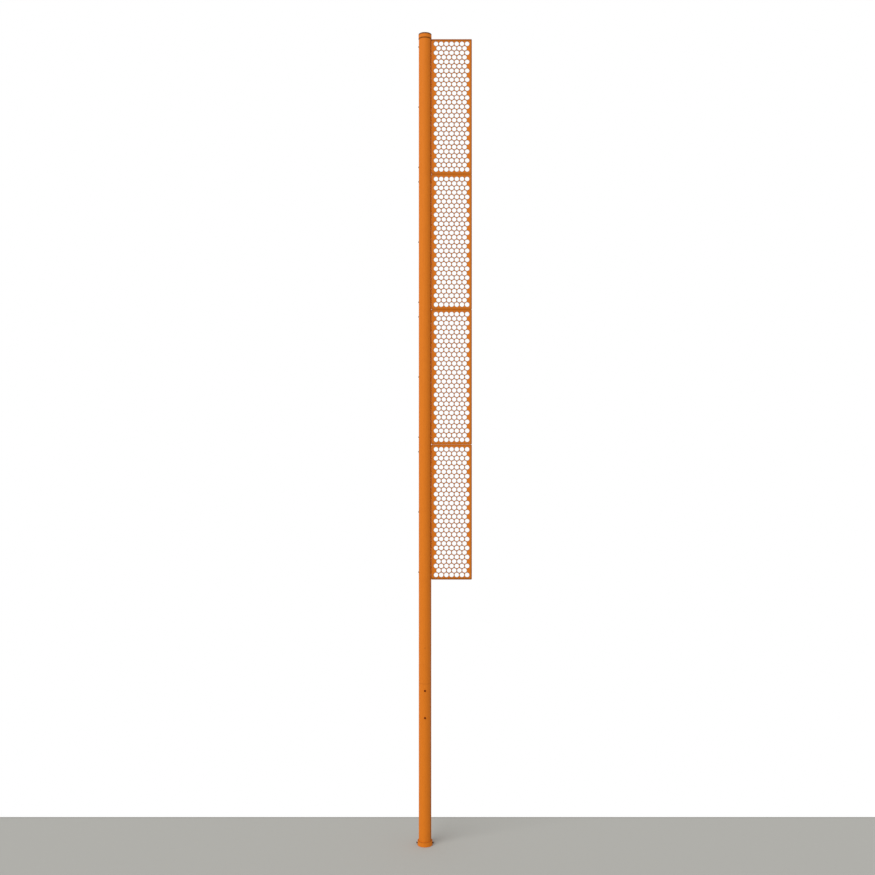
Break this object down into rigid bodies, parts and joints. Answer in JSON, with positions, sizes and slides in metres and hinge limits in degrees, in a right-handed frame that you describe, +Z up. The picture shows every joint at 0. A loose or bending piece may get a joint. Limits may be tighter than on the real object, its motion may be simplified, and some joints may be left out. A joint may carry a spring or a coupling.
{
  "type": "baseball foul pole",
  "caption": "Tall orange pipe pole in a buried ground sleeve, with a long narrow wing of perforated panels bolted to one side and a domed slip-over cap.",
  "frame": {"origin": "on the pole's axis at ground level, at the top end of the buried sleeve's outside wall", "axes": "+Z up along the pole, +X along the wing away from the pole, -Y towards the side of the wing that faces the field"},
  "size_m": [0.6248, 0.1797, 10.3807],
  "materials": {
    "orange_coat": "satin orange powder coat over steel",
    "galvanised_steel": "hot-dip galvanised, dull grey",
    "black_oxide": "black oxide",
    "brown_bolt": "dark brown painted screw heads",
    "zinc_plate": "zinc plated"
  },
  "bodies": {
    "footing": {"ground_sleeve": "galvanised_steel", "sleeve_floor": "galvanised_steel", "floor_weld": "galvanised_steel", "set_collar": "orange_coat", "collar_weld": "orange_coat"},
    "left_set_bolt": {"set_bolt_left": "black_oxide"},
    "right_set_bolt": {"set_bolt_right": "black_oxide"},
    "pole": {"lower_pole": "orange_coat", "upper_pole": "orange_coat", "splice_sleeve": "galvanised_steel", "plug_welds": "orange_coat", "splice_bolts": "brown_bolt", "splice_washers": "zinc_plate", "splice_nuts": "zinc_plate", "pole_cap": "orange_coat", "wing_panel_1": "orange_coat", "panel_bolts_1": "brown_bolt", "panel_washers_1": "zinc_plate", "panel_nuts_1": "zinc_plate", "wing_panel_2": "orange_coat", "panel_bolts_2": "brown_bolt", "panel_washers_2": "zinc_plate", "panel_nuts_2": "zinc_plate", "wing_panel_3": "orange_coat", "panel_bolts_3": "brown_bolt", "panel_washers_3": "zinc_plate", "panel_nuts_3": "zinc_plate", "wing_panel_4": "orange_coat", "panel_bolts_4": "brown_bolt", "panel_washers_4": "zinc_plate", "panel_nuts_4": "zinc_plate"}
  },
  "joints": [
    {"name": "pole_turn", "type": "hinge", "parent": "footing", "child": "pole", "pos_m": [0, 0, 0], "axis": [0, 0, 1], "continuous": true},
    {"name": "left_set_bolt_travel", "type": "slide", "parent": "footing", "child": "left_set_bolt", "axis": [-1, 0, 0], "range_m": [0, 0.01]},
    {"name": "right_set_bolt_travel", "type": "slide", "parent": "footing", "child": "right_set_bolt", "axis": [1, 0, 0], "range_m": [0, 0.01]}
  ]
}
